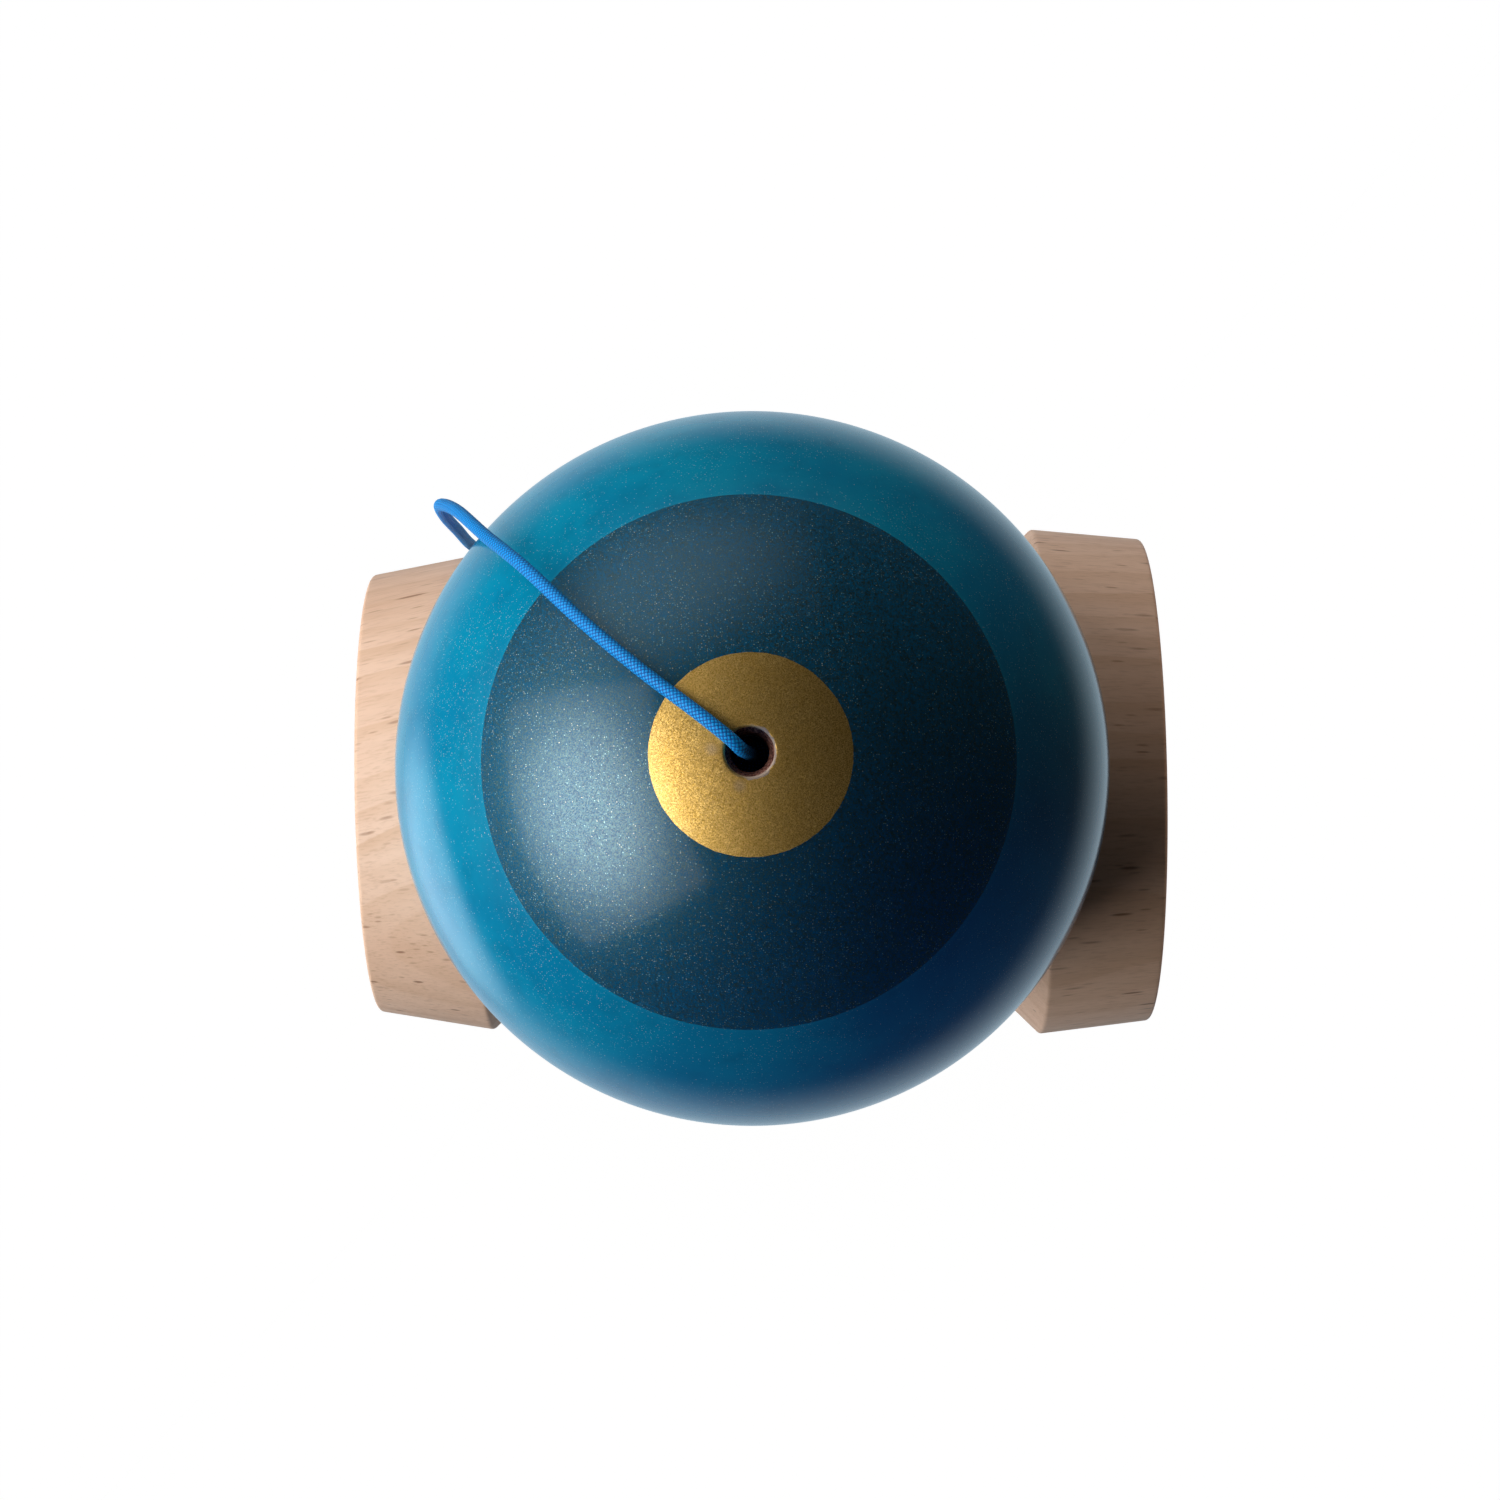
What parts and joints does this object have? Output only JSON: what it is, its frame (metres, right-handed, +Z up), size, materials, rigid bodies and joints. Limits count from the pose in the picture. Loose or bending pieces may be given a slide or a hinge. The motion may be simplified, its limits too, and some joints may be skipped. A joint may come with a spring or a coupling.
{
  "type": "kendama",
  "caption": "Wooden cup-and-ball skill toy: a bored ball rests on the spike of a turned handle with a cupped cross piece, tethered by a braided cord.",
  "frame": {"origin": "centre of the base cup's rim, on the ground the toy stands on", "axes": "+Z up along the handle to the spike and the ball, +X towards the big cup, +Y towards the back, where the cord hangs"},
  "size_m": [0.0728, 0.0645, 0.1756],
  "materials": {
    "beech": "bare, finely sanded beech",
    "ball_paint": "painted wood: satin clear coat over teal, navy flake and gold flake zones",
    "cord": "fine braided nylon",
    "bearing_steel": "ground",
    "bearing_brass": "stamped"
  },
  "bodies": {
    "handle": {"ken": "beech", "sarado": "beech", "ken_knot": "cord"},
    "string_end": {"bearing_inner_ring": "bearing_steel", "tama_knot": "cord", "cord": "cord"},
    "ball": {"tama": "ball_paint", "bearing_outer_ring": "bearing_steel", "bearing_shields": "bearing_steel"},
    "bearing_set": {"bearing_balls": "bearing_steel", "bearing_cage": "bearing_brass"}
  },
  "joints": [
    {"name": "tama_lift", "type": "slide", "parent": "handle", "child": "string_end", "axis": [0, 0, 1], "range_m": [0, 0.045], "deforming": ["cord"]},
    {"name": "tama_spin", "type": "hinge", "parent": "string_end", "child": "ball", "pos_m": [0, 0, 0.1679], "axis": [0, 0, 1], "continuous": true},
    {"name": "bearing_set_spin", "type": "hinge", "parent": "string_end", "child": "bearing_set", "pos_m": [0, 0, 0.1679], "axis": [0, 0, 1], "continuous": true}
  ],
  "couplings": [
    {"joint": "bearing_set_spin", "follows": "tama_spin", "ratio": 0.6309}
  ]
}
